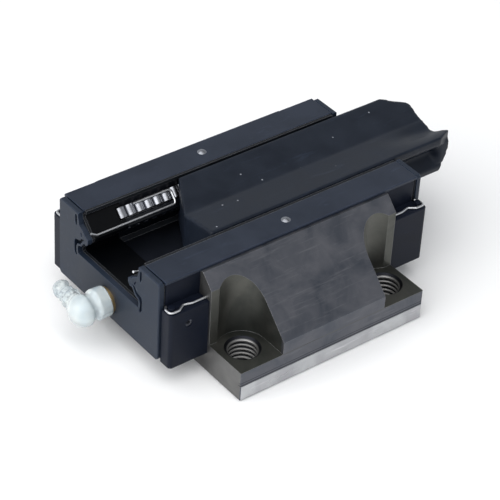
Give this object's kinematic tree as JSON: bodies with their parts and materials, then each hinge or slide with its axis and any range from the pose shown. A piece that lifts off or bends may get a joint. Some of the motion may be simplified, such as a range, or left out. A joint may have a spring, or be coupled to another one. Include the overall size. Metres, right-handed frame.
{
  "type": "flanged linear roller guide carriage",
  "caption": "Flanged linear guide carriage lying on its mounting face, with roller circuits, end caps, elbow grease nipple and a plastic transport rail in its channel.",
  "frame": {"origin": "centre of the mounting face, midway between the four tapped holes", "axes": "+X along the direction of travel, towards the end that the transport rail sticks out of; +Y across the carriage to the left leg; +Z away from the mounting face, towards the rail side"},
  "size_m": [0.1305, 0.09, 0.0346],
  "materials": {
    "ground_steel": "ground reference band, darker raw steel above it",
    "cap_plastic": "moulded, fine matte texture",
    "plate_plastic": "moulded, satin",
    "seal_rubber": "matte rubber",
    "wire_steel": "bright drawn spring wire",
    "plug_steel": "phosphated set screw",
    "roller_steel": "ground and honed bearing steel",
    "tube_plastic": "natural plastic",
    "cage_plastic": "moulded black plastic",
    "strip_plastic": "satin extruded strip",
    "rivet_steel": "bright domed rivet",
    "rail_plastic": "extruded black plastic, lightly scuffed",
    "washer_brass": "flat sealing washer",
    "nipple_steel": "zinc plated",
    "cover_film": "milky soft film, wrinkled"
  },
  "bodies": {
    "carriage": {"cage_bar_left": "cage_plastic", "cage_bar_right": "cage_plastic", "cap_clips_far": "wire_steel", "cap_clips_near": "wire_steel", "carriage_body": "ground_steel", "channel_seal_left": "seal_rubber", "channel_seal_right": "seal_rubber", "end_cap_far": "cap_plastic", "end_cap_near": "cap_plastic", "end_plate_far": "plate_plastic", "end_plate_near": "plate_plastic", "end_seal_far": "seal_rubber", "end_seal_near": "seal_rubber", "far_port_plug": "plug_steel", "leg_strip_left": "strip_plastic", "leg_strip_right": "strip_plastic", "lip_seal_left": "seal_rubber", "lip_seal_right": "seal_rubber", "lower_guide_left": "cage_plastic", "lower_guide_right": "cage_plastic", "nipple_body": "nipple_steel", "nipple_spring": "wire_steel", "nipple_washer": "washer_brass", "return_tube_lower_left": "tube_plastic", "return_tube_lower_right": "tube_plastic", "return_tube_upper_left": "tube_plastic", "return_tube_upper_right": "tube_plastic", "rollers_lower_left": "roller_steel", "rollers_lower_right": "roller_steel", "rollers_upper_left": "roller_steel", "rollers_upper_right": "roller_steel", "side_port_plugs": "plug_steel", "strip_rivets": "rivet_steel", "upper_guide_left": "cage_plastic", "upper_guide_right": "cage_plastic"},
    "transport_rail": {"transport_rail": "rail_plastic"},
    "nipple_cover": {"nipple_cover": "cover_film"},
    "nipple_ball": {"nipple_ball": "roller_steel"},
    "retaining_wire_left": {"retaining_wire_left": "wire_steel"},
    "retaining_wire_right": {"retaining_wire_right": "wire_steel"}
  },
  "joints": [
    {"name": "transport_rail_slide", "type": "slide", "parent": "carriage", "child": "transport_rail", "axis": [1, 0, 0], "range_m": [0, 0.069]},
    {"name": "nipple_cover_pull", "type": "slide", "parent": "carriage", "child": "nipple_cover", "axis": [-1, 0, 0], "range_m": [0, 0.03]},
    {"name": "retaining_wire_left_pull", "type": "slide", "parent": "carriage", "child": "retaining_wire_left", "axis": [-1, 0, 0], "range_m": [0, 0.034]},
    {"name": "retaining_wire_right_pull", "type": "slide", "parent": "carriage", "child": "retaining_wire_right", "axis": [-1, 0, 0], "range_m": [0, 0.026]},
    {"name": "nipple_ball_lift", "type": "slide", "parent": "carriage", "child": "nipple_ball", "axis": [0, -1, 0], "range_m": [0, 0.0006], "stiffness_N_per_m": 200, "springref_m": -0.0004, "deforming": ["nipple_spring"]}
  ]
}
